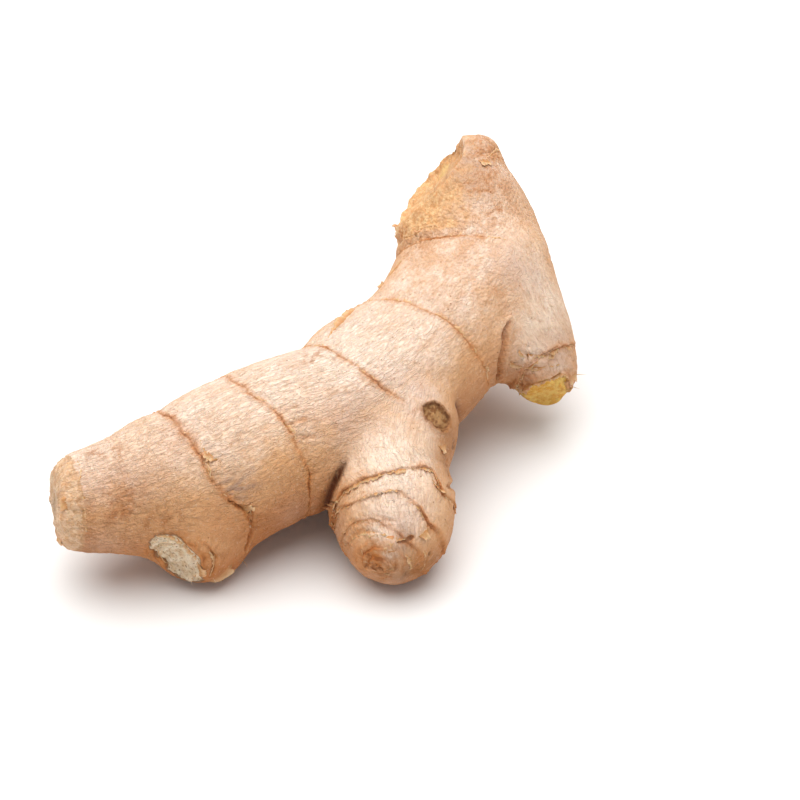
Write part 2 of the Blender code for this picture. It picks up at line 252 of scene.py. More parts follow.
# Papery edges off the rings: the points they run through, the way they point, width,
# and for some the share by which they lift
LOOSE_EDGES = (
    ([(3.2, -5.2, 36.2), (4.6, -1.4, 36.2), (6, 0.8, 36.2), (7.7, 3.6, 36), (9.4, 6.8, 35.2)],
        (-0.6, 0.5, 0.3), 1.7, 0.8),
    ([(25.2, -34.5, 23.1), (26.6, -34.9, 21.8), (27.6, -35, 20.8), (28.9, -34.6, 19.4)],
        (0.3, -0.5, -0.8), 2, 0.6),
    ([(-21.8, -34.2, 33.4), (-20.9, -36.4, 32.5), (-20, -38.8, 30.8), (-19.2, -40.9, 28.9)],
        (-1, 0, 0), 1.3),
    (CRACKS["arc_left"][0] + [(17.5, -45.6, 17.8)], (0.5, -0.8, -0.5), 1.3),
    (CRACKS["arc_low"][0], (0.2, -0.8, 0.7), 1.1),
    (CRACKS["arc_tip"][0], (0.2, -0.8, 0.7), 0.9),
    ([(19.6, -47.6, 14.4), (20.9, -47.4, 12.4), (21.2, -47.4, 10.2), (20.2, -47.9, 8.4)],
        (-0.9, -0.4, 0.1), 1.2),
    ([(22.4, -46.2, 15.5), (24, -46, 12.6), (24, -46.4, 9.8), (22.6, -47, 7.6)], (-0.9, -0.4, 0), 1),
    ([(14.8, -46.6, 17.6), (16.3, -46.9, 17.9), (18, -46.7, 17.5), (20, -46.2, 17.2)],
        (0, -0.7, -0.7), 1.6),
    ([(15, -47.2, 15.4), (16.4, -47.6, 15), (18, -47.5, 15.4)], (0.1, -0.7, 0.8), 1.3),
    (CRACKS["knob_fold_1"][0] + [(55, 4.6, 25)], (0.1, -0.4, -1), 1.2),
    (CRACKS["knob_fold_2"][0] + [(55.4, 4.6, 21.8)], (0.1, -0.4, -1), 1.2),
    ([(45, 4.4, 13.8), (46.4, 3.5, 15.7), (48.5, 2.8, 18.1), (51.4, 2.8, 18.6), (53.1, 3.4, 19.2),
        (54.6, 4.1, 19.4), (56.2, 5.6, 17), (56.6, 6.4, 13.6)], (0.1, -0.4, -1), 1.3),
    ([(28.6, 22.2, 46.6), (27.7, 22.4, 46), (25.6, 23.4, 45.2), (23.8, 24.2, 44.4), (22.5, 24.1, 42.9),
        (20.2, 26.4, 40), (18.3, 28.4, 37)], (0.1, 0.8, 0.6), 1.1),
    ([(-47.9, -34.2, 29.2), (-45.8, -39.6, 29.9), (-46, -42.5, 29), (-44.8, -45.3, 26.9),
        (-44.6, -48.1, 21.2), (-44.5, -47.8, 16.8)], (-1, 0, 0), 0.6),
    ([(-31.3, -46.3, 17.6), (-29.2, -46.1, 17.9), (-26.7, -46.2, 16.6), (-24.4, -46.3, 13.3),
        (-22.9, -46.7, 10), (-23.9, -46.1, 5.1)], (-0.5, 0, -0.5), 1.2),
    ([(-32, -44.5, 14), (-31.2, -44.2, 10.5), (-29.5, -44.6, 7.6), (-27, -45.4, 5.8)], (0.7, 0, 0.6), 1),
    ([(-20.8, -45.6, 14.6), (-19.4, -46.2, 12), (-19.6, -46.4, 9), (-20.8, -46.2, 6.4)],
        (-0.9, -0.2, 0), 1.2),
    (CRACKS["left_crack"][0][1:6], (0.9, 0, 0.2), 0.9),
    ([(35.2, 38, 53.9), (37, 38.3, 53.5), (38.6, 39.5, 53.2), (40.3, 42.4, 52.3), (42, 45.2, 50.5)],
        (0, 0.8, 0.3), 0.9),
    ([(14.6, 16.6, 36), (17.6, 19.4, 40), (19.4, 21.4, 42)], (0.3, 0.7, 0.6), 1.2),
)
# Loose flakes of skin: middle, direction in which they lift, length, width, height
FLAKES = (
    ((-19.7, -36.9, 31.8), (-0.6, -0.6, -0.5), 1.6, 1.8, 0.5),
    ((8.5, 12.2, 33.5), (-0.7, 0.6, 0.4), 3, 2.4, 1),
    ((14.5, 14, 36.5), (-0.7, 0.5, 0.5), 1.8, 1.4, 0.8),
    ((17.4, 27.6, 38), (-0.8, 0.3, 0.5), 2.2, 1.8, 0.9),
    ((18.6, 35, 37), (-0.8, 0.4, 0.4), 1.6, 1.4, 0.9),
    ((-18.7, -45.4, 5.6), (0.6, -0.3, -0.7), 3, 3.2, 0.8),
    ((-22.8, -46.2, 7.6), (0.8, -0.3, 0.2), 2, 2.2, 0.7),
    ((23.6, -44.6, 17.4), (0.6, -0.5, -0.6), 1.8, 1.6, 0.5),
    ((-52.5, -45.8, 16.5), (-0.6, -0.2, -0.6), 2, 1.8, 0.6),
    ((-49, -46.5, 27), (-0.9, -0.2, 0.1), 2, 2.2, 0.5),
    ((37.5, 38.6, 53.6), (0.3, -0.4, 0.5), 2.2, 1.6, 0.6),
    ((56.6, 6.6, 17), (0.7, -0.4, -0.4), 2.2, 1.8, 0.7),
    ((45.4, 3.2, 16), (-0.3, -0.6, -0.7), 2.4, 2.2, 0.6),
    ((28.7, -25.5, 24.5), (0.6, -0.6, -0.2), 1.8, 1.6, 0.7),
    ((-13, -42.4, 20.8), (0.8, -0.4, 0.3), 2, 1.8, 0.6),
)
FLAKE_GRID = 9
# Root hairs: foot, direction, length
HAIRS = (
    ((56.9, 8.9, 15.4), (0.9, -0.2, 0.3), 2.6), ((56.7, 8, 12.8), (0.9, -0.3, -0.1), 2),
    ((56.3, 7, 18.4), (0.8, -0.5, 0.4), 1.8), ((-24.4, -46.2, 5.4), (-0.1, -0.6, -0.7), 1.6),
    ((-20.2, -45.8, 5.8), (0.3, -0.6, -0.5), 1.8), ((19.5, 29.5, 39), (-0.8, 0.1, 0.5), 1.6),
    ((22, 46, 36.5), (-0.9, 0.2, 0.1), 1.8), ((-15, -38, 3.5), (0.3, -0.9, -0.1), 2.4),
    ((12, 24, 10), (-0.3, 0.9, 0.1), 2.6), ((-5, -3, 14), (-0.5, 0.8, 0), 2.2),
)
HAIR_RADIUS, HAIR_SIDES, HAIR_STEPS = 0.11, 6, 7

# Slow bumps all over the skin
LUMP_HEIGHT, LUMP_COUNT, LUMP_SEED = 0.25, 14, 7
LUMP_LENGTHS = (14.0, 34.0)
# Relief fades out below this height, so that the feet stay flat
FOOT_HEIGHT = 4.0
# Heights of the long and short wrinkles, and of the pebbles that take their place on
# the upper finger, with the size of the pebbles and the places where they set in
LONG_WRINKLE, SHORT_WRINKLE, PEBBLE_HEIGHT, PEBBLE_SIZE = 0.25, 0.16, 0.16, 1.1
PEBBLES_FROM = (80, 110)
# Level of the skin between its creases and the tops of its wrinkles
WRINKLE_LEVEL = 0.6
# Smooth swells over the skin: length and height. All the relief is made with waves of
# a few lengths, these three among them.
SWELLS = {3.6: 0.12, 8: 0.16, 1.2: 0.05}
WAVE_LENGTHS = (0.8, 1.2, 2.2, 3.6, 5, 8, 14)
# Relief that the bare flesh keeps
BARE_SHARE = 0.2

# Fineness of the skin: first grid, bands beside the rings that are split once and
# twice, triangles kept
SKIN_GRID = 0.45
SPLIT_BANDS = (1.3, 0.5)
SKIN_TRIANGLES = 192000
# Step over which slopes are taken, and points that are measured at once
SLOPE_STEP, CHUNK = 0.05, 8192
# Distance under which points of the solid are one, in metres, and evening passes
MERGE_GAP, EVEN_PASSES = 1e-6, 3

# Height in metres of the finest relief, which is a bump of the finish
FINE_RELIEF = 0.0004

# Camera of the view from the front: aim, distance, angle over the surface, lens
AIM, CAMERA_DISTANCE = (16.4, -7.7, 20.0), 483.0
CAMERA_RISE, CAMERA_LENS, CAMERA_SENSOR = 40.0, 100.0, 36.0

# Floor, light from all round, and the soft key: its direction, strength, colour, spread
FLOOR_SIZE, FLOOR_WHITE = 20, (0.84, 0.84, 0.84, 1)
SKY_COLOUR, SKY_STRENGTH = (1, 0.99, 0.975, 1), 0.42
KEY_TOWARD, KEY_ENERGY, KEY_COLOUR, KEY_SPREAD = (-0.1, 0.16, 1.0), 3.85, (1, 0.985, 0.965), 75


class Noise:
    """Smooth noise over points in space, mostly within -1 to 1, the same each run."""
    SIZE = 32
    GAIN = 1.7

    def __init__(self, seed):
        slopes = np.random.default_rng(seed).normal(size=(self.SIZE ** 3, 3))
        slopes /= np.linalg.norm(slopes, axis=1)[:, None]
        self.slopes = slopes.astype(np.float32)

    def __call__(self, points):
        points = points.astype(np.float32)
        cell = np.floor(points)
        place = (points - cell).T
        cell = cell.astype(np.int32).T
        fade = place ** 3 * (place * (place * 6 - 15) + 10)
        total = np.zeros(len(points), dtype=np.float32)
        strides = (self.SIZE ** 2, self.SIZE, 1)
        ends = [[
            ((cell[axis] + end) % self.SIZE * strides[axis], place[axis] - end,
             fade[axis] if end else 1 - fade[axis])
            for end in (0, 1)] for axis in range(3)]
        for x_at, x, x_share in ends[0]:
            for y_at, y, y_share in ends[1]:
                for z_at, z, z_share in ends[2]:
                    slope = self.slopes[x_at + y_at + z_at]
                    lean = x * slope[:, 0] + y * slope[:, 1] + z * slope[:, 2]
                    total += x_share * y_share * z_share * lean
        return self.GAIN * total


NOISES = [Noise(seed) for seed in range(20, 26)]


def noise_number(k):
    """One of the noises, counted round and round."""
    return NOISES[k % len(NOISES)]


def smooth_step(value, low, high):
    """0 below low, 1 above high, and smooth between."""
    t = np.clip((value - low) / (high - low), 0, 1)
    return t * t * (3 - 2 * t)


def unit(vectors):
    """Vectors of length one."""
    return vectors / np.maximum(np.linalg.norm(vectors, axis=-1, keepdims=True), 1e-9)


def curve_through(points, step):
    """A smooth curve through guide points, with a sample about every step."""
    knots = np.array(points, float)
    knots = np.vstack([2 * knots[0] - knots[1], knots, 2 * knots[-1] - knots[-2]])
    samples = []
    for i in range(1, len(knots) - 2):
        before, start, end, after = knots[i - 1:i + 3]
        bend = 2 * before - 5 * start + 4 * end - after
        twist = 3 * start - before - 3 * end + after
        count = max(2, int(np.linalg.norm((end - start)[:3]) / step))
        for t in np.arange(count) / count:
            samples.append(start + 0.5 * ((end - before) * t + bend * t ** 2 + twist * t ** 3))
    samples.append(knots[-2])
    return np.array(samples)


class Ring:
    """The scar of an old leaf, which runs round a finger."""

    def __init__(self, places, lip, step, crack, fringe):
        rough = np.interp(np.arange(360), list(places), list(places.values()), period=360)
        half = RING_SMOOTHING // 2
        weights = np.hanning(RING_SMOOTHING + 2)[1:-1]
        around = np.concatenate([rough[-half:], rough, rough[:half]])
        self.places = np.convolve(around, weights / weights.sum(), "valid")
        self.lip, self.step, self.crack, self.fringe = lip, step, crack, fringe

    def place(self, angle):
        """Place of the ring along the finger at an angle in degrees."""
        return np.interp(angle, np.arange(360), self.places, period=360)

    def gap(self, points, along, angle):
        """How far along the finger points lie past the ring, wavers included."""
        gap = along - self.place(angle)
        for noise, (length, height) in zip(NOISES, WAVERS):
            gap = gap - height * noise(points / length + self.lip)
        return gap


class Finger:
    """One branch of the root."""

    def __init__(self, name):
        samples = curve_through(FINGERS[name], GUIDE_STEP)
        self.centre, self.radius = samples[:, :3], samples[:, 3]
        gaps = np.linalg.norm(np.diff(self.centre, axis=0), axis=1)
        self.along = np.concatenate([[0.0], np.cumsum(gaps)])
        self.forward = unit(np.gradient(self.centre, self.along, axis=0))
        self.front = unit(np.cross(self.forward, (0, 0, 1)))
        self.top = np.cross(self.front, self.forward)
        self.rings = [Ring(*ring) for ring in RINGS.get(name, [])]
        self.blend = BLENDS.get(name, 0)

    def nearest(self, points):
        """The sample whose ball lies nearest, for each point."""
        near = np.empty(len(points), dtype=np.int64)
        centre, radius = self.centre.astype(np.float32), self.radius.astype(np.float32)
        squares = (centre ** 2).sum(1)
        for start in range(0, len(points), CHUNK):
            part = points[start:start + CHUNK].astype(np.float32)
            gap = part @ (-2 * centre.T)
            gap += squares
            gap += (part ** 2).sum(1)[:, None]
            np.maximum(gap, 0, out=gap)
            np.sqrt(gap, out=gap)
            gap -= radius
            near[start:start + CHUNK] = gap.argmin(1)
        return near

    def measure(self, points):
        """Distance off the finger, place along it, angle round it, radius there, and
        how far the surface faces up, from -1 to 1."""
        near = self.nearest(points)
        arm = points - self.centre[near]
        along = self.along[near] + (arm * self.forward[near]).sum(1)
        angle = np.arctan2((arm * self.top[near]).sum(1), (arm * self.front[near]).sum(1))
        reach = np.maximum(np.linalg.norm(arm, axis=1), 1e-6)
        return reach - self.radius[near], along, np.degrees(angle), self.radius[near], arm[:, 2] / reach

    def on_ring(self, ring, angles):
        """Points off the axis of the finger where the ring should run."""
        place = ring.place(angles)

        def at(values):
            return np.stack([np.interp(place, self.along, column) for column in values.T], 1)

        reach = np.interp(place, self.along, self.radius)[:, None]
        turn = np.radians(angles)[:, None]
        return at(self.centre) + reach * (np.cos(turn) * at(self.front) + np.sin(turn) * at(self.top))


ROOT = {name: Finger(name) for name in FINGERS}


def blend_union(a, b, width):
    """The nearer of two distances, rounded where they meet."""
    mix = np.maximum(width - np.abs(a - b), 0) / width
    return np.minimum(a, b) - mix ** 2 * width / 4


def blend_cut(a, b, width):
    """The farther of two distances, rounded where they meet."""
    return -blend_union(-a, -b, width)


def lump_waves():
    """Directions, lengths and phases of the slow bumps."""
    random = np.random.default_rng(LUMP_SEED)
    directions = unit(random.normal(size=(LUMP_COUNT, 3)))
    lengths = random.uniform(*LUMP_LENGTHS, LUMP_COUNT)
    phases = random.uniform(0, 2 * math.pi, LUMP_COUNT)
    return directions.T * (2 * math.pi / lengths), phases


WAVES, PHASES = lump_waves()


class Survey:
    """How points lie to every finger, ring, broken face and scar of the root."""

    def __init__(self, points):
        self.points = points
        self.fingers = {name: finger.measure(points) for name, finger in ROOT.items()}
        plain = self.fingers["main"][0]
        for name, blend in BLENDS.items():
            plain = blend_union(plain, self.fingers[name][0], blend)
        self.plain = plain

    def rings(self):
        """Every ring with how far past it the points lie and how much of it they have."""
        for name, finger in ROOT.items():
            own, along, angle, radius, up = self.fingers[name]
            shown = np.exp(-((own - self.plain) / RING_FADE) ** 2)
            for ring in finger.rings:
                near = np.abs(along - ring.place(angle)) < 3 * WAIST_WIDTH
                gap = np.full(len(self.points), 3 * WAIST_WIDTH)
                gap[near] = ring.gap(self.points[near], along[near], angle[near])
                yield ring, gap, shown

    def faces(self):
        """The distance outside each broken face, and how soft its rim is."""
        for point, outward, reach, hollow, softness, rim in BREAKS.values():
            outward = unit(np.array(outward))
            arm = self.points - point
            face = arm @ outward
            off = np.linalg.norm(arm - face[:, None] * outward, axis=1)
            beyond = np.maximum(off - reach, 0)
            face = face + hollow * (1 - (off / reach) ** 2) - beyond * (1 + beyond / FACE_BEND)
            yield face, softness

    def bare(self):
        """How far points lie inside each patch of bare flesh or cork."""
        main_along = self.fingers["main"][1]
        own, along, angle, radius, up = self.fingers["right_knob"]
        long = unit(np.array(CORK_LONG))
        arm = self.points - CORK_MIDDLE
        across = np.linalg.norm(arm - (arm @ long)[:, None] * long, axis=1)
        oval = np.hypot(arm @ long / CORK_SIZES[0], across / CORK_SIZES[1])
        tip = along - np.interp(angle, list(TIP_EDGE), list(TIP_EDGE.values()), period=360)
        return {
            "left_end": LEFT_EDGE - main_along,
            "upper_break": np.minimum(UPPER_SOFT * (UPPER_SIDE - self.points[:, 0]), main_along - UPPER_EDGE),
            "left_knob_scar": (1 - oval) * 1.6 * CORK_SIZES[1],
            "right_knob_tip": tip - 3 * (own - self.plain),
        }

    def skin(self):
        """Distance outside the skin without its fine relief."""
        height = LUMP_HEIGHT * np.sin(self.points @ WAVES + PHASES).mean(1) * math.sqrt(LUMP_COUNT)
        for name, finger in ROOT.items():
            own, along, angle, radius, up = self.fingers[name]
            shown = WAIST_DEPTH * np.exp(-((own - self.plain) / RING_FADE) ** 2)
            for ring in finger.rings:
                height -= shown * np.exp(-((along - ring.place(angle)) / WAIST_WIDTH) ** 2)
        return self.plain - height * np.clip(self.points[:, 2] / FOOT_HEIGHT, 0, 1)


def skin_distance(points):
    """Distance outside the root, its fine relief left out."""
    survey = Survey(points)
    distance = survey.skin()
    for face, softness in survey.faces():
        distance = blend_cut(distance, face, softness)
    return distance


def slopes(points):
    """Distance of points outside the skin, and the direction straight out of it."""
    here = skin_distance(points)
    slope = np.stack([
        (skin_distance(points + SLOPE_STEP * np.eye(3)[axis]) - here) / SLOPE_STEP
        for axis in range(3)], 1)
    return here, slope


def settle(points):
    """Points moved onto the skin, with the direction straight out of it."""
    here, slope = slopes(points)
    slope /= np.maximum((slope ** 2).sum(1), 0.25)[:, None]
    points = points - slope * here[:, None]
    points = points - slope * skin_distance(points)[:, None]
    return points, unit(slope)


def grain(measure):
    """Coordinates that run straight along a finger and round it."""
    own, along, angle, radius, up = measure
    turn = np.radians(angle)
    return np.stack([along, radius * np.cos(turn), radius * np.sin(turn)], 1)


def wrinkle(place, shift):
    """Wrinkles along a finger, 0 in the creases and about 1 between them."""
    bent = place + 0.9 * np.stack([
        NOISES[2](place / 3.5 + shift), NOISES[3](place / 3 - shift), NOISES[4](place / 3 + shift)], 1)
    long = np.abs(NOISES[0](bent / (3.0, 1.2, 1.2) + shift))
    short = np.abs(NOISES[1](bent / (1.5, 0.75, 0.75) - shift))
    return np.sqrt(np.clip(long, 0, 1)), np.sqrt(np.clip(short, 0, 1))


def torn_relief(name, points):
    """Height of the torn flesh on a broken face."""
    if name == "upper_break":
        fibre = points @ np.array([(1, 0.1, 0.3), (0.02, 0.12, -0.04), (0.4, -0.2, 0.5)]).T
        fibre = fibre / (0.8, 1, 1)
        return 0.25 * NOISES[0](fibre) + 0.55 * NOISES[1](points / 3.5) + 0.08 * NOISES[2](points / 1.1)
    if name == "left_knob_scar":
        return 0.25 * NOISES[2](points / 0.9) + 0.4 * NOISES[3](points / 2.2)
    if name == "left_end":
        return 0.5 * NOISES[2](points / 2.6) + 0.22 * NOISES[3](points / 1.0)
    return 0.12 * NOISES[4](points / 2.5)


def line_distance(points, line):
    """Distance of points from a smooth line through the given ones, on the skin. Near
    the ends of the line it comes out larger, so that a crack fades out there."""
    curve = settle(curve_through([(*point, 0) for point in line], 0.7)[:, :3])[0]
    nearest, count = np.full(len(points), 99.0), len(curve) - 1
    reach = 5 + np.linalg.norm(curve - curve.mean(0), axis=1).max()
    close = np.flatnonzero(((points - curve.mean(0)) ** 2).sum(1) < reach ** 2)
    for k in range(count):
        arm, way = points[close] - curve[k], curve[k + 1] - curve[k]
        share = np.clip(arm @ way / (way @ way), 0, 1)
        fade = END_FADE * np.abs(2 * (k + share) / count - 1) ** 6
        nearest[close] = np.minimum(nearest[close], np.linalg.norm(arm - share[:, None] * way, axis=1) + fade)
    return nearest


def patches(points, places):
    """How much of some round soft patches there is at each point."""
    share = np.zeros(len(points))
    for middle, radius in places:
        share = np.maximum(share, np.exp(-((points - middle) ** 2).sum(1) / radius ** 2))
    return share


class Relief:
    """The fine relief over the settled skin, with the marks that the finish reads."""

    def __init__(self, points):
        self.points = points
        self.survey = Survey(points)
        self.marks = {}
        self.wave = {size: noise_number(k)(points / size) for k, size in enumerate(WAVE_LENGTHS)}
        bare, sunk = self.broken_faces()
        self.nearest, self.shown = np.full(len(points), RING_FAR), np.zeros(len(points))
        height = self.wrinkles() + self.rings(1 - bare) + self.cracks() + self.swirls() + self.scars()
        height = height * (1 - (1 - BARE_SHARE) * bare)
        self.marks.update({"ring": self.nearest, "ring_show": self.shown})
        self.height = np.clip(points[:, 2] / FOOT_HEIGHT, 0, 1) * (height + sunk)
        self.marks.update({name: patches(points, places) for name, places in PATCHES.items()})
        # How far the surface faces up, which the finish uses to paint shade below and a highlight on top
        self.marks["upward"] = self.upward()

    def broken_faces(self):
        """How bare of skin each point is, and how it lies off the plain broken faces."""
        jag = sum(
            height * noise(self.points / length)
            for noise, (length, height) in zip(NOISES[3:], RIM_JAGS))
        bare, sunk = np.zeros(len(self.points)), np.zeros(len(self.points))
        for name, past in self.survey.bare().items():
            rim = BREAKS[name][-1]
            past = past + jag
            here = smooth_step(past, -0.15, 0.25)
            self.marks[name] = np.clip(past, -3, 3)
            bare = np.maximum(bare, here)
            sunk += here * (torn_relief(name, self.points) - rim)
            sunk += 0.4 * rim * np.exp(-((past + 0.5) / 0.45) ** 2) * (0.6 + 0.5 * self.wave[2.2])
        middle, size, depth = POCKET
        pocket = np.exp(-((self.points - middle) ** 2).sum(1) / size ** 2)
        self.marks["pocket"] = pocket
        return bare, sunk - depth * pocket

    def wrinkles(self):
        """Net-like wrinkles along the fingers, and pebbles on the upper one."""
        fingers = self.survey.fingers
        names = [name for name in ROOT if name != "main"]
        own = np.stack([fingers[name][0] for name in names])
        side = smooth_step(fingers["main"][0] - own.min(0), -2, 2)
        side_grain = np.zeros((len(self.points), 3))
        for k, name in enumerate(names):
            here = own.argmin(0) == k
            side_grain[here] = grain([m[here] for m in fingers[name]]) + 40 * (k + 1)
        self.grains = {"grain": grain(fingers["main"]), "side_grain": side_grain}
        long, short = (
            a * (1 - side) + b * side
            for a, b in zip(wrinkle(self.grains["grain"], 3.3), wrinkle(side_grain, 9.1)))
        pebbles = np.sqrt(np.clip(np.abs(NOISES[4](self.points / PEBBLE_SIZE)), 0, 1))
        upper = smooth_step(fingers["main"][1], *PEBBLES_FROM) * (1 - side)
        # The crease mark is where the finish paints shade in the wrinkles
        self.marks.update({"side": side, "upper": upper, "crease": 1 - long})
        rough = (0.6 + 0.45 * self.wave[14]) * (1 - 0.6 * side)
        rough = rough * (1 - 0.45 * smooth_step(self.upward(), 0.6, 1))
        folds = LONG_WRINKLE * (long - WRINKLE_LEVEL) + SHORT_WRINKLE * (short - WRINKLE_LEVEL)
        height = rough * ((1 - upper) * folds + PEBBLE_HEIGHT * upper * (pebbles - WRINKLE_LEVEL))
        for length, swell in SWELLS.items():
            height += swell * self.wave[length]
        return height

    def rings(self, share):
        """Lip, step and crack of every ring, each broken and ragged."""
        height = np.zeros(len(self.points))
        for ring, gap, shown in self.survey.rings():
            shown = shown * share
            strength = np.clip(0.65 + 0.55 * NOISES[0](self.points / 5 + ring.step), 0.1, 1.2)
            ragged = np.clip(0.6 + 0.7 * NOISES[1](self.points / 2.2 + ring.step), 0, 1.4)
            past = np.exp(-np.abs(gap) / 3) * -np.tanh(gap / 0.2) / 2
            height += shown * strength * (
                ring.lip * ragged * np.exp(-((gap + 0.35) / 0.5) ** 2) + ring.step * past
                - 0.7 * ring.crack * np.exp(-(gap / 0.22) ** 2))
            height += 0.35 * shown * (0.4 - self.marks["crease"]) * np.exp(-((gap - 1.5) / 2.2) ** 2)
            self.darken(np.abs(gap) + 4 * (1 - shown), strength * shown * min(1, 2.2 * ring.crack))
        return height

    def darken(self, distance, shown):
        """Takes the nearer of two lines, and how dark it is."""
        closer = distance < self.nearest
        self.nearest[closer] = distance[closer]
        self.shown[closer] = shown[closer]

    def cracks(self):
        """Cracks and creases, and the hollow between the front knob and the rest."""
        height, deep = np.zeros(len(self.points)), np.zeros(len(self.points))
        waver = 0.3 * self.wave[2.2] + 0.12 * self.wave[0.8]
        taper = 0.75 + 0.4 * self.wave[3.6]
        for line, half, depth, dark in CRACKS.values():
            off = np.maximum(np.abs(line_distance(self.points, line) + waver) - 0.3, 0) / half
            height += depth * (0.25 * np.exp(-((off - 2.5) / 1.5) ** 2) - taper * np.exp(-off ** 2))
            self.darken(0.75 * off, np.clip(dark * taper, 0, 1))
            deep = np.maximum(deep, dark * np.exp(-(off / 0.9) ** 2))
        front = self.survey.fingers["front_knob"][0]
        rest = np.min([m[0] for name, m in self.survey.fingers.items() if name != "front_knob"], 0)
        hollow = np.exp(-((front - rest) / HOLLOW_WIDTH) ** 2) * smooth_step(self.points[:, 2], *HOLLOW_TOP)
        # Marks where the finish paints shade in the hollow and the cracks
        self.marks.update({"hollow": hollow, "crack": deep})
        return height - HOLLOW_DEPTH * hollow

    def swirls(self):
        """Layers of old scales round the tips, each with a ragged raised edge."""
        height = np.zeros(len(self.points))
        warp = 0.9 * self.wave[5] + 0.45 * self.wave[2.2] + 0.15 * self.wave[0.8]
        for middle, reach, spacing, raised, dark in SWIRLS:
            away = np.linalg.norm(self.points - middle, axis=1)
            fade = smooth_step(away, reach, 0.6 * reach) * np.clip(0.7 + 0.8 * self.wave[3.6], 0.1, 1.2)
            turn = (away + warp) / spacing
            layer = turn - np.floor(turn)
            height += raised * fade * (layer ** 2 - 0.4 - 0.7 * np.exp(-((1 - layer) / 0.08) ** 2))
            self.darken(spacing * np.minimum(layer, 1 - layer) + 4 * (fade < 0.15), dark * fade)
        return height

    def scars(self):
        """Small pits, and the hollows and rims of old bud scars."""
        height = np.zeros(len(self.points))
        for middle, radius, swell in SWELLINGS:
            height += swell * np.exp(-((self.points - middle) ** 2).sum(1) / radius ** 2)
        spot, scar = np.zeros(len(self.points)), np.full(len(self.points), -1.0)
        for middle, radius in SPOTS:
            away = np.linalg.norm(self.points - middle, axis=1) / radius + 0.35 * self.wave[0.8]
            spot = np.maximum(spot, smooth_step(away, 1.2, 0.4))
        height -= SPOT_DEPTH * spot
        ragged = 0.24 * self.wave[2.2] + 0.1 * self.wave[0.8]
        for name, (middle, radius, depth, rim) in PITS.items():
            arm = self.points - middle
            if name in PIT_SQUEEZE:
                narrow, share = PIT_SQUEEZE[name]
                narrow = unit(np.array(narrow))
                arm = arm + (share - 1) * (arm @ narrow)[:, None] * narrow
            away = np.linalg.norm(arm, axis=1) / radius + ragged
            floor = smooth_step(away, 1.05, 0.8)
            height += rim * np.exp(-((away - 1.12) / 0.16) ** 2)
            height -= floor * (depth * (0.7 + 0.3 * (1 - away)) + 0.3 * self.wave[1.2])
            scar = np.maximum(scar, 1 - away)
        self.marks.update({"spot": spot, "scar": scar})
        return height

    def upward(self):
        """How far the surface faces up, blended where fingers meet."""
        measures = list(self.survey.fingers.values())
        shares = np.exp(-(np.stack([m[0] for m in measures]) - self.survey.plain) / 1.5)
        return (shares * np.stack([m[4] for m in measures])).sum(0) / shares.sum(0)


def put_in_place(points):
    """Millimetres of the tables turned into metres of the finished frame."""
    moved = points - (MIDDLE[0], MIDDLE[1], 0)
    moved[:, 2] = np.maximum(moved[:, 2], 0)
    return moved * MM


def read_points(mesh):
    """The points of a mesh as an array."""
    points = np.empty(len(mesh.vertices) * 3, dtype=np.float32)
    mesh.vertices.foreach_get("co", points)
    return points.reshape(-1, 3).astype(float)


def write_points(mesh, points):
    """Moves the points of a mesh."""
    mesh.vertices.foreach_set("co", points.astype(np.float32).ravel())
    mesh.update()


def take_modified(piece):
    """Replaces a piece's mesh by the one that its modifiers give."""
    seen = piece.evaluated_get(bpy.context.evaluated_depsgraph_get())
    made = bpy.data.meshes.new_from_object(seen)
    old, name = piece.data, piece.data.name
    piece.modifiers.clear()
    piece.data = made
    bpy.data.meshes.remove(old)
    made.name = name


def add_piece(name, mesh, finish):
    """A piece with its finish, riding on the root."""
    piece = bpy.data.objects.new(name, mesh)
    bpy.context.scene.collection.objects.link(piece)
    piece.data.materials.clear()
    piece.data.materials.append(finish)
    mesh.shade_smooth()
    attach(piece, BODY)
    return piece


def ring_gaps(points):
    """How far points lie from the nearest ring or crack."""
    nearest = np.full(len(points), RING_FAR)
    for ring, gap, shown in Survey(points).rings():
        nearest = np.minimum(nearest, np.abs(gap) + 4 * (1 - shown))
    for line, half, depth, dark in CRACKS.values():
        nearest = np.minimum(nearest, line_distance(points, line))
    for middle, reach, spacing, raised, dark in SWIRLS[:FINE_SWIRLS]:
        nearest[np.linalg.norm(points - middle, axis=1) < 0.8 * reach] = SPLIT_BANDS[1]
    return nearest


def to_table(points):
    """Metres of the finished frame turned into millimetres of the tables."""
    return points / MM + (MIDDLE[0], MIDDLE[1], 0)


def split_near_rings(mesh):
    """Splits the faces beside every ring and crack, and again in a narrower band."""
    for band in SPLIT_BANDS:
        near = ring_gaps(to_table(read_points(mesh))) < band
        body = bmesh.new()
        body.from_mesh(mesh)
        body.verts.ensure_lookup_table()
        edges = [e for e in body.edges if near[e.verts[0].index] and near[e.verts[1].index]]
        bmesh.ops.subdivide_edges(body, edges=edges, cuts=1, use_grid_fill=True)
        bmesh.ops.triangulate(body, faces=[f for f in body.faces if len(f.verts) > 4])
        body.to_mesh(mesh)
        body.free()


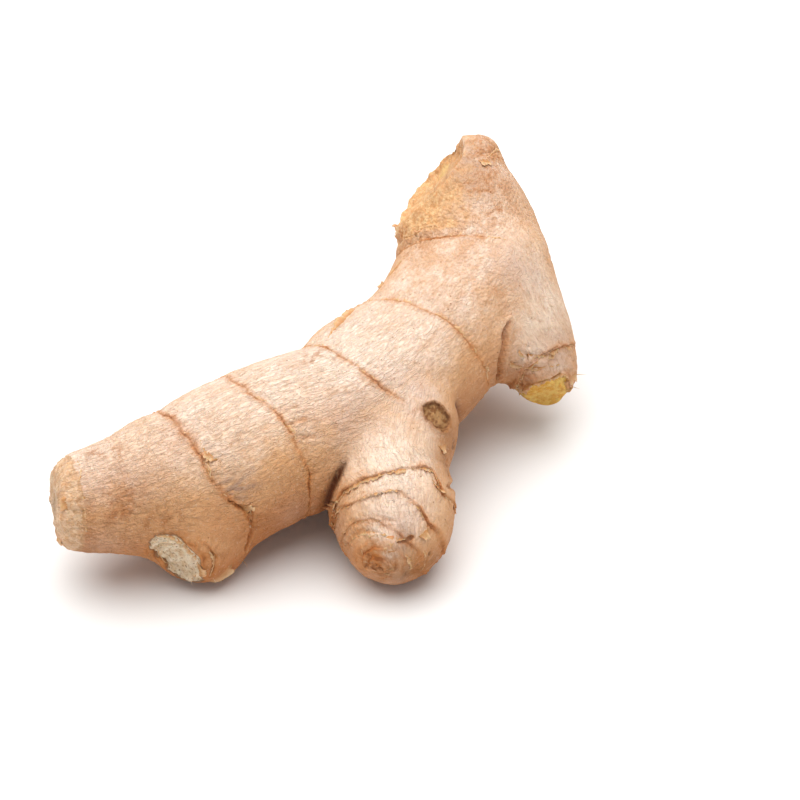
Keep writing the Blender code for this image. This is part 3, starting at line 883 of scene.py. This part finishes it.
def make_skin(finish):
    """The whole skin: a copy of the solid, remeshed, settled, raised and thinned."""
    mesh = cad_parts[NODE].data.copy()
    mesh.name = "ginger_skin"
    skin = add_piece("ginger_skin", mesh, finish)
    body = bmesh.new()
    body.from_mesh(mesh)
    bmesh.ops.remove_doubles(body, verts=body.verts, dist=MERGE_GAP)
    body.to_mesh(mesh)
    body.free()
    remesh = skin.modifiers.new("one_skin", "REMESH")
    remesh.mode = "VOXEL"
    remesh.voxel_size = SKIN_GRID * MM
    even = skin.modifiers.new("even", "SMOOTH")
    even.iterations = EVEN_PASSES
    take_modified(skin)
    split_near_rings(skin.data)

    points, out = settle(to_table(read_points(skin.data)))
    write_points(skin.data, put_in_place(points + out * Relief(points).height[:, None]))
    triangles = sum(len(face.vertices) - 2 for face in skin.data.polygons)
    thin = skin.modifiers.new("thin", "DECIMATE")
    thin.ratio = min(1, SKIN_TRIANGLES / triangles)
    take_modified(skin)

    relief = Relief(to_table(read_points(skin.data)))
    for name, values in relief.marks.items():
        layer = skin.data.attributes.new(name, "FLOAT", "POINT")
        layer.data.foreach_set("value", values.astype(np.float32))
    for name, values in relief.grains.items():
        layer = skin.data.attributes.new(name, "FLOAT_VECTOR", "POINT")
        layer.data.foreach_set("vector", values.astype(np.float32).ravel())
    skin.data.shade_smooth()
    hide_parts(NODE)
    return skin


def ring_line(finger, ring):
    """Points on the skin all along a ring, the directions straight out and toward the
    tip of the finger there, and how much of the ring lies on the open skin."""
    start = finger.on_ring(ring, np.arange(EDGE_STEPS) * 360 / EDGE_STEPS)
    points = start
    for _ in range(RING_PASSES):
        points, out = settle(points)
        forward = finger.forward[finger.nearest(points)]
        ahead = unit(forward - (forward * out).sum(1)[:, None] * out)
        own, along, angle, radius, up = finger.measure(points)
        points = points - ring.gap(points, along, angle)[:, None] * ahead
        moved = points - start
        far = np.maximum(np.linalg.norm(moved, axis=1, keepdims=True) / RING_REACH, 1)
        points = start + moved / far
    shown = np.exp(-((own - Survey(points).plain) / RING_FADE) ** 2) * (far[:, 0] < 1.01)
    return points, out, ahead, shown


def quads_between(first, second, closed=True):
    """Faces between two rows of point numbers."""
    count = len(first)
    last = count if closed else count - 1
    return [(first[i], first[(i + 1) % count], second[(i + 1) % count], second[i]) for i in range(last)]


def make_mesh(name, points, faces, marks):
    """A closed mesh with its faces outward, from points in the frame of the tables."""
    mesh = bpy.data.meshes.new(name)
    mesh.from_pydata(put_in_place(np.asarray(points)).tolist(), [], faces)
    for mark, values in marks.items():
        layer = mesh.attributes.new(mark, "FLOAT", "POINT")
        layer.data.foreach_set("value", np.asarray(values, dtype=np.float32))
    body = bmesh.new()
    body.from_mesh(mesh)
    bmesh.ops.recalc_face_normals(body, faces=body.faces)
    body.to_mesh(mesh)
    body.free()
    return mesh


class Strips:
    """Thin ragged bands of paper, each held down along one edge."""

    def __init__(self):
        self.points, self.faces, self.tips = [], [], []

    def add(self, line, out, ahead, width, seed, closed, lifts=EDGE_LIFT):
        """A band along a line: straight out, the way it points, its width and lift."""
        sunk = SUNK * smooth_step(width, 0.25, 0.05)
        width = np.maximum(width, 0.15)[:, None]
        lift = lifts * (1 + 0.6 * noise_number(seed)(line / 1.8))[:, None] * width
        base = line - out * (0.12 + sunk)[:, None]
        rows = []
        for share, thick in EDGE_SECTION:
            height = max(share, 0) ** 2 * lift + thick * PAPER
            rows.append((len(self.points) + np.arange(len(line))).tolist())
            self.points.extend(base + ahead * share * width + out * height)
            self.tips.extend([max(share, 0)] * len(line))
        for first, second in zip(rows, rows[1:] + rows[:1]):
            self.faces += quads_between(first, second, closed)
        if not closed:
            self.faces += [[row[0] for row in rows], [row[-1] for row in rows][::-1]]


def ragged_width(line, seed):
    """How wide a papery edge is along its line, from 0 to about 1.6."""
    slow, quick = noise_number(seed), noise_number(seed + 1)
    wide = 0.3 + 0.75 * slow(line / 3.5) + 0.45 * quick(line / 0.7)
    return np.clip(wide, 0, 1.6)


def make_edges(finish):
    """The papery edges of the rings, which lift toward the tips, and those off them."""
    strips = Strips()
    for finger in ROOT.values():
        for k, ring in enumerate(finger.rings):
            if ring.fringe:
                line, out, ahead, shown = ring_line(finger, ring)
                line = line + out * Relief(line).height[:, None]
                low = np.clip(line[:, 2] / FOOT_HEIGHT - 0.5, 0, 1)
                strips.add(line, out, ahead, ring.fringe * ragged_width(line, k) * shown * low, k + 2, True)
    for k, (guides, toward, width, *lifts) in enumerate(LOOSE_EDGES):
        line, out = settle(curve_through([(*point, 0) for point in guides], 0.25)[:, :3])
        line = line + out * Relief(line).height[:, None]
        ahead = np.cross(unit(np.gradient(line, axis=0)), out)
        ahead = unit(ahead * np.sign(ahead @ np.array(toward))[:, None])
        ends = np.sin(np.pi * np.linspace(0, 1, len(line))) ** 0.5
        strips.add(line, out, ahead, width * (0.25 + ragged_width(line, k)) * ends, k, False, *lifts)
    mesh = make_mesh("papery_edges", strips.points, strips.faces, {"tip": strips.tips})
    return add_piece("papery_edges", mesh, finish)


def make_flakes(finish):
    """Small flakes of dry skin that have come loose at one end."""
    points, faces, tips = [], [], []
    share = np.linspace(0, 1, FLAKE_GRID)
    for k, (middle, toward, length, width, height) in enumerate(FLAKES):
        foot, out = settle(np.array([middle], float))
        out = out[0]
        ahead = unit(np.array(toward) - np.dot(toward, out) * out)
        across = np.cross(out, ahead)
        u, v = (grid.ravel() for grid in np.meshgrid(share, share * 2 - 1, indexing="ij"))
        jag = 1 + 0.35 * noise_number(k)(np.stack([2.5 * u + 7 * k, 2.5 * v, 0 * v], 1))
        narrow = np.sqrt(np.clip(1 - (0.8 * u) ** 2, 0, 1)) * (0.8 + 0.2 * np.cos(3 * u + k))
        flat = foot + (u * jag * length)[:, None] * ahead + (v * narrow * jag * width)[:, None] * across
        flat, out = settle(flat)
        flat = flat + out * (Relief(flat).height - 0.1 + 0.55 * height * u ** 1.5 + 0.2 * u * v ** 2)[:, None]
        for side in (0, 1):
            points.extend(flat + out * side * PAPER)
            tips.extend(u)
        under = len(points) - 2 * len(flat) + np.arange(len(flat)).reshape(FLAKE_GRID, FLAKE_GRID)
        over = under + len(flat)
        for sheet in (under, over):
            for first, second in zip(sheet[:-1].tolist(), sheet[1:].tolist()):
                faces += quads_between(first, second, closed=False)
        edge = [
            np.concatenate([s[0, :-1], s[:-1, -1], s[-1, :0:-1], s[:0:-1, 0]]).tolist()
            for s in (under, over)]
        faces += quads_between(*edge)
    return add_piece("loose_flakes", make_mesh("loose_flakes", points, faces, {"tip": tips}), finish)


def make_hairs(finish):
    """A few fine root hairs."""
    points, faces, tips = [], [], []
    turns = 2 * math.pi * np.arange(HAIR_SIDES) / HAIR_SIDES
    for k, (foot, toward, length) in enumerate(HAIRS):
        start, out = settle(np.array([foot], float))
        toward = unit(unit(np.array(toward, float)) + 0.8 * out[0])
        across = unit(np.cross(toward, (0.3, 0.5, 0.8)))
        other = np.cross(toward, across)
        rows = []
        for step in range(HAIR_STEPS):
            share = step / (HAIR_STEPS - 1)
            bend = 0.35 * length * share ** 2 * math.sin(2.3 * k + 3 * share)
            middle = start[0] + toward * (share * length - 0.3) + across * bend
            reach = HAIR_RADIUS * (1 - 0.8 * share)
            rows.append((len(points) + np.arange(HAIR_SIDES)).tolist())
            points.extend(middle + reach * (np.outer(np.cos(turns), across) + np.outer(np.sin(turns), other)))
            tips.extend([share] * HAIR_SIDES)
        for first, second in zip(rows, rows[1:]):
            faces += quads_between(first, second)
        faces += [rows[0][::-1], rows[-1]]
    return add_piece("root_hairs", make_mesh("root_hairs", points, faces, {"tip": tips}), finish)


def paint(code):
    """A colour for the nodes from its screen code."""
    parts = [int(code[i:i + 2], 16) / 255 for i in (1, 3, 5)]
    return tuple(p / 12.92 if p <= 0.04045 else ((p + 0.055) / 1.055) ** 2.4 for p in parts) + (1.0,)


class Mask:
    """A number or colour that varies over a surface: a socket that can be reckoned with."""

    def __init__(self, finish, socket):
        self.finish, self.socket = finish, socket

    def reckon(self, operation, *values):
        return self.finish.add("ShaderNodeMath", {"operation": operation}, values)

    def __add__(self, other):
        return self.reckon("ADD", self, other)

    def __sub__(self, other):
        return self.reckon("SUBTRACT", self, other)

    def __rsub__(self, other):
        return self.reckon("SUBTRACT", other, self)

    def __mul__(self, other):
        return self.reckon("MULTIPLY", self, other)

    def __abs__(self):
        return self.reckon("ABSOLUTE", self)

    __radd__, __rmul__ = __add__, __mul__

    def between(self, low, high):
        """0 at low and 1 at high, smooth between, whichever is the larger."""
        if low > high:
            return 1 - self.between(high, low)
        settings = {"interpolation_type": "SMOOTHSTEP"}
        values = {"Value": self, "From Min": low, "From Max": high}
        return self.finish.add("ShaderNodeMapRange", settings, values)


class Finish:
    """A material, with the nodes that vary it over the surface."""

    def __init__(self, name, **constants):
        self.material = bpy.data.materials.new(name)
        self.material.use_nodes = True
        self.tree = self.material.node_tree
        self.shader = self.tree.nodes["Principled BSDF"]
        for socket, value in constants.items():
            self.shader.inputs[socket.replace("_", " ")].default_value = value
        self.place = self.add("ShaderNodeTexCoord", {}, {}, "Object")

    def add(self, kind, settings, values, output=0):
        """A node of a kind with its settings, then the values or links of its sockets."""
        node = self.tree.nodes.new(kind)
        for name, value in settings.items():
            setattr(node, name, value)
        for key, value in values.items() if isinstance(values, dict) else enumerate(values):
            if isinstance(value, Mask):
                self.tree.links.new(value.socket, node.inputs[key])
            else:
                node.inputs[key].default_value = value
        return Mask(self, node.outputs[output])

    def mark(self, name, output="Fac"):
        return self.add("ShaderNodeAttribute", {"attribute_name": name}, {}, output)

    def stretched(self, place, sizes):
        """Coordinates divided by a size along each axis."""
        shares = tuple(1 / size for size in sizes)
        return self.add("ShaderNodeVectorMath", {"operation": "MULTIPLY"}, [place, shares])

    def noise(self, place, size, detail=3.0, roughness=0.55, warp=0.0):
        values = {"Vector": place, "Scale": 1 / size, "Detail": detail, "Roughness": roughness,
                  "Distortion": warp}
        return self.add("ShaderNodeTexNoise", {}, values)

    def cells(self, place, size):
        return self.add("ShaderNodeTexVoronoi", {"feature": "F1"}, {"Vector": place, "Scale": 1 / size})

    def blend(self, share, under, over):
        """Colour over the one under it, by a share."""
        node = self.tree.nodes.new("ShaderNodeMix")
        node.data_type = "RGBA"
        for socket, value in (("Factor_Float", share), ("A_Color", under), ("B_Color", over)):
            entry = next(s for s in node.inputs if s.identifier == socket)
            if isinstance(value, Mask):
                self.tree.links.new(value.socket, entry)
            else:
                entry.default_value = paint(value) if isinstance(value, str) else value
        return Mask(self, next(s for s in node.outputs if s.identifier == "Result_Color"))

    def bump(self, height, distance):
        return self.add("ShaderNodeBump", {}, {"Height": height, "Distance": distance, "Strength": 1.0})

    def wear(self, **sockets):
        """Links what varies to the shader."""
        for name, value in sockets.items():
            self.tree.links.new(value.socket, self.shader.inputs[name.replace("_", " ")])
        return self.material


def skin_finish():
    """Dry tan skin, with its creases, stains, rings, scars and bare flesh, and with painted shade low down,
    in creases and hollows and a painted highlight on top.
    """
    skin = Finish(
        "ginger_skin", Metallic=0.0, Subsurface_Weight=0.1, Subsurface_Scale=0.0012,
        Subsurface_Radius=(1.0, 0.45, 0.2), IOR=1.45, Specular_IOR_Level=0.35)
    place = skin.add("ShaderNodeVectorMath", {"operation": "MULTIPLY"}, [skin.place, TO_MM])
    along, side_along = skin.mark("grain", "Vector"), skin.mark("side_grain", "Vector")
    side, upper, upward = skin.mark("side"), skin.mark("upper"), skin.mark("upward")

    def along_grain(sizes, detail, roughness, warp):
        """Noise drawn out along the finger."""
        ways = [
            skin.noise(skin.stretched(way, sizes), 1.0, detail, roughness, warp)
            for way in (along, side_along)]
        return ways[0] * (1 - side) + ways[1] * side

    fibre = along_grain((2.3, 0.68, 0.68), 3.0, 0.55, 1.0)
    streak = along_grain((9.0, 2.2, 2.2), 3.0, 0.6, 0.6)
    crease = (abs(fibre - 0.5) * 10).between(1, 0)
    grit = skin.noise(place, 0.55, 3.0, 0.6)
    patch = skin.noise(place, 7.0, 4.0, 0.62)
    cloud = skin.noise(place, 24.0, 3.0, 0.5)
    stain = skin.noise(place, 3.2, 5.0, 0.68, 0.4)

    # Painted shade below and painted highlight on top, by how far the surface faces up, with soft clouds and
    # patches
    lit = upward + (patch - 0.5) * 0.7
    colour = skin.blend(lit.between(-0.45, 0.75), "#BE7439", "#E1B081")
    colour = skin.blend(lit.between(0.35, 1.05) * 0.85, colour, "#F8E8DA")
    colour = skin.blend(cloud.between(0.35, 0.65) * 0.35, colour, "#DCA776")
    # Paler skin, partly a painted highlight
    colour = skin.blend(skin.mark("pale") * 0.75, colour, "#F6E4D2")
    # Painted shade, as darker tan where shade falls
    colour = skin.blend(skin.mark("painted_shade") * 0.7, colour, "#A66B3A")
    colour = skin.blend(upper * stain.between(0.3, 0.6) * 0.6, colour, "#D3A077")
    colour = skin.blend(streak.between(0.52, 0.72) * 0.3, colour, "#C78F61")
    colour = skin.blend(stain.between(0.58, 0.75) * 0.5, colour, "#BE7C43")
    # Brown stains, partly painted shade
    colour = skin.blend(skin.mark("stain_and_shade") * stain.between(0.45, 0.62) * 0.75, colour, "#A9662F")
    colour = skin.blend(skin.mark("mauve") * patch.between(0.25, 0.6) * 0.4, colour, "#C79F8E")
    colour = skin.blend(skin.mark("grey") * streak.between(0.35, 0.55) * 0.8, colour, "#A08579")
    # Painted shade in the creases of the wrinkles, then grit and specks
    colour = skin.blend(crease * (0.22 - side * 0.12), colour, "#B27B4E")
    colour = skin.blend(skin.mark("crease").between(0.45, 0.95) * 0.28, colour, "#BC8451")
    colour = skin.blend(grit.between(0.58, 0.72) * 0.3, colour, "#B87E4B")
    colour = skin.blend(grit.between(0.42, 0.3) * 0.2, colour, "#F4E4D2")
    specks = skin.cells(place, 2.2).between(0.12, 0.04) * stain.between(0.42, 0.58)
    colour = skin.blend(specks * 0.8, colour, "#8F5A2D")

    # Rings and cracks, with painted shade in the cracks, the creases and the hollow by the front knob
    ring, show = skin.mark("ring"), skin.mark("ring_show")
    torn = skin.noise(place, 0.9, 3.0, 0.6)
    near = ring + (torn - 0.5) * 0.9 - (stain - 0.5) * 1.8
    colour = skin.blend(near.between(1.7, 0.3) * show * 0.55, colour, "#CC8B52")
    colour = skin.blend(near.between(0.75, 0.15) * show * 0.8, colour, "#BC7339")
    core = (ring + (torn - 0.5) * 0.5).between(0.3, 0.0) * show.between(0.35, 0.9)
    colour = skin.blend(core * 0.75, colour, "#854B24")
    # Dark cracks and creases: partly their own brown, partly painted shade
    colour = skin.blend(skin.mark("crack").between(0.5, 1.1) * 0.9, colour, "#5E3417")
    # Painted shade in the hollow between the front knob and the rest
    colour = skin.blend(skin.mark("hollow").between(0.1, 0.9), colour, "#6A3614")

    # Old scars and pits
    scar = skin.mark("scar") + (torn - 0.5) * 0.25
    colour = skin.blend(scar.between(-0.3, -0.05) * 0.7, colour, "#A56E3E")
    colour = skin.blend(scar.between(0.0, 0.12), colour, "#8E5E34")
    colour = skin.blend(scar.between(0.05, 0.4) * torn.between(0.4, 0.55) * 0.8, colour, "#C09260")
    dark_rim = scar.between(0.3, 0.05) * scar.between(-0.1, 0.0) * stain.between(0.42, 0.5)
    colour = skin.blend(dark_rim * 0.8, colour, "#6B4020")
    colour = skin.blend(skin.mark("spot").between(0.1, 0.9) * 0.7, colour, "#6E4522")

    # Bare flesh and cork
    def face(name, threads, base, light, dark, share, edge, soft):
        """Bare flesh or cork inside one mark, with an edge of its own colour."""
        past = skin.mark(name) + (torn - 0.5) * 0.6
        flesh = skin.blend(threads.between(0.35, 0.65), base, light)
        flesh = skin.blend(grit.between(0.55, 0.7) * share, flesh, dark)
        rim = abs(past - 0.05).between(0.45, 0.1) * (0.75 - 0.4 * soft)
        return skin.blend(rim, skin.blend(past.between(-soft, soft), colour, flesh), edge)

    dots = skin.noise(place, 1.4, 4.0, 0.65)
    colour = face("left_end", dots, "#D5A67C", "#E6C3A0", "#A9713C", 0.5, "#B98550", 0.8)
    colour = face("left_knob_scar", dots, "#DDBD96", "#F0DDC2", "#8E6540", 0.9, "#7A4820", 0.2)
    colour = face("right_knob_tip", dots, "#E0A03A", "#F0C86C", "#B0762A", 0.3, "#A87236", 0.6)
    threads = skin.noise(skin.stretched(place, (0.8, 1.0, 5.0)), 1.0, 4.0, 0.6, 0.4)
    colour = face("upper_break", threads, "#DBA26C", "#ECC290", "#C98F55", 0.3, "#D6A474", 1.2)
    colour = skin.blend(skin.mark("pocket").between(0.3, 0.8) * 0.6, colour, "#EFCB84")

    pebble = skin.cells(place, 0.75)
    height = (fibre - crease * 0.3) * (1 - 0.6 * upper) * (1 - 0.35 * side)
    height = height - pebble * upper * 0.8 + grit * 0.6
    fine = skin.noise(place, 0.3, 2.0, 0.5)
    normal = skin.bump(height + fine * 0.15, FINE_RELIEF)
    rough = 0.46 + grit * 0.2 + near.between(0.8, 0.1) * 0.15
    return skin.wear(Base_Color=colour, Roughness=rough, Normal=normal)


def paper_finish():
    """Dry papery skin, paler toward the free edge."""
    paper = Finish("dry_paper", Metallic=0.0, Roughness=0.6, IOR=1.45, Subsurface_Weight=0.2,
                   Subsurface_Scale=0.001)
    place = paper.add("ShaderNodeVectorMath", {"operation": "MULTIPLY"}, [paper.place, TO_MM])
    tip, mottle = paper.mark("tip"), paper.noise(place, 1.3, 3.0, 0.6)
    colour = paper.blend((tip + (mottle - 0.5) * 1.2).between(0.1, 1.1), "#C08450", "#E2B78C")
    colour = paper.blend(mottle.between(0.58, 0.72) * 0.7, colour, "#A4693A")
    return paper.wear(Base_Color=colour)


def hair_finish():
    """Pale dry root hairs."""
    hair = Finish("root_hair", Metallic=0.0, Roughness=0.6, IOR=1.45)
    return hair.wear(Base_Color=hair.blend(hair.mark("tip"), "#C79A66", "#EBD8BC"))


def make_stage():
    """A plain white floor, soft light from all round and a large soft key above."""
    bpy.ops.mesh.primitive_plane_add(size=FLOOR_SIZE)
    floor = bpy.context.object
    floor.name = "floor"
    white = Finish("white_floor", Base_Color=FLOOR_WHITE, Roughness=1.0, Specular_IOR_Level=0.0)
    floor.data.materials.append(white.material)

    world = bpy.data.worlds.new("studio")
    bpy.context.scene.world = world
    world.use_nodes = True
    sky = world.node_tree.nodes["Background"]
    sky.inputs["Color"].default_value = SKY_COLOUR
    sky.inputs["Strength"].default_value = SKY_STRENGTH

    toward = Vector(KEY_TOWARD)
    bpy.ops.object.light_add(type="SUN", location=0.5 * toward)
    lamp = bpy.context.object
    lamp.name = "soft_key"
    lamp.data.energy = KEY_ENERGY
    lamp.data.color = KEY_COLOUR
    lamp.data.angle = math.radians(KEY_SPREAD)
    lamp.rotation_euler = toward.to_track_quat("Z", "Y").to_euler()


def make_camera():
    """The camera of the view from the front."""
    rise = math.radians(CAMERA_RISE)
    back = Vector((0, -math.cos(rise), math.sin(rise)))
    bpy.ops.object.camera_add(location=(Vector(AIM) + CAMERA_DISTANCE * back) * MM)
    camera = bpy.context.object
    camera.rotation_euler = back.to_track_quat("Z", "Y").to_euler()
    camera.data.lens = CAMERA_LENS
    camera.data.sensor_width = CAMERA_SENSOR
    camera.data.clip_start = 0.01
    bpy.context.scene.camera = camera


make_camera()
make_stage()
bpy.context.scene.view_settings.view_transform = "Standard"
make_skin(skin_finish())
papery = paper_finish()
make_edges(papery)
make_flakes(papery)
make_hairs(hair_finish())
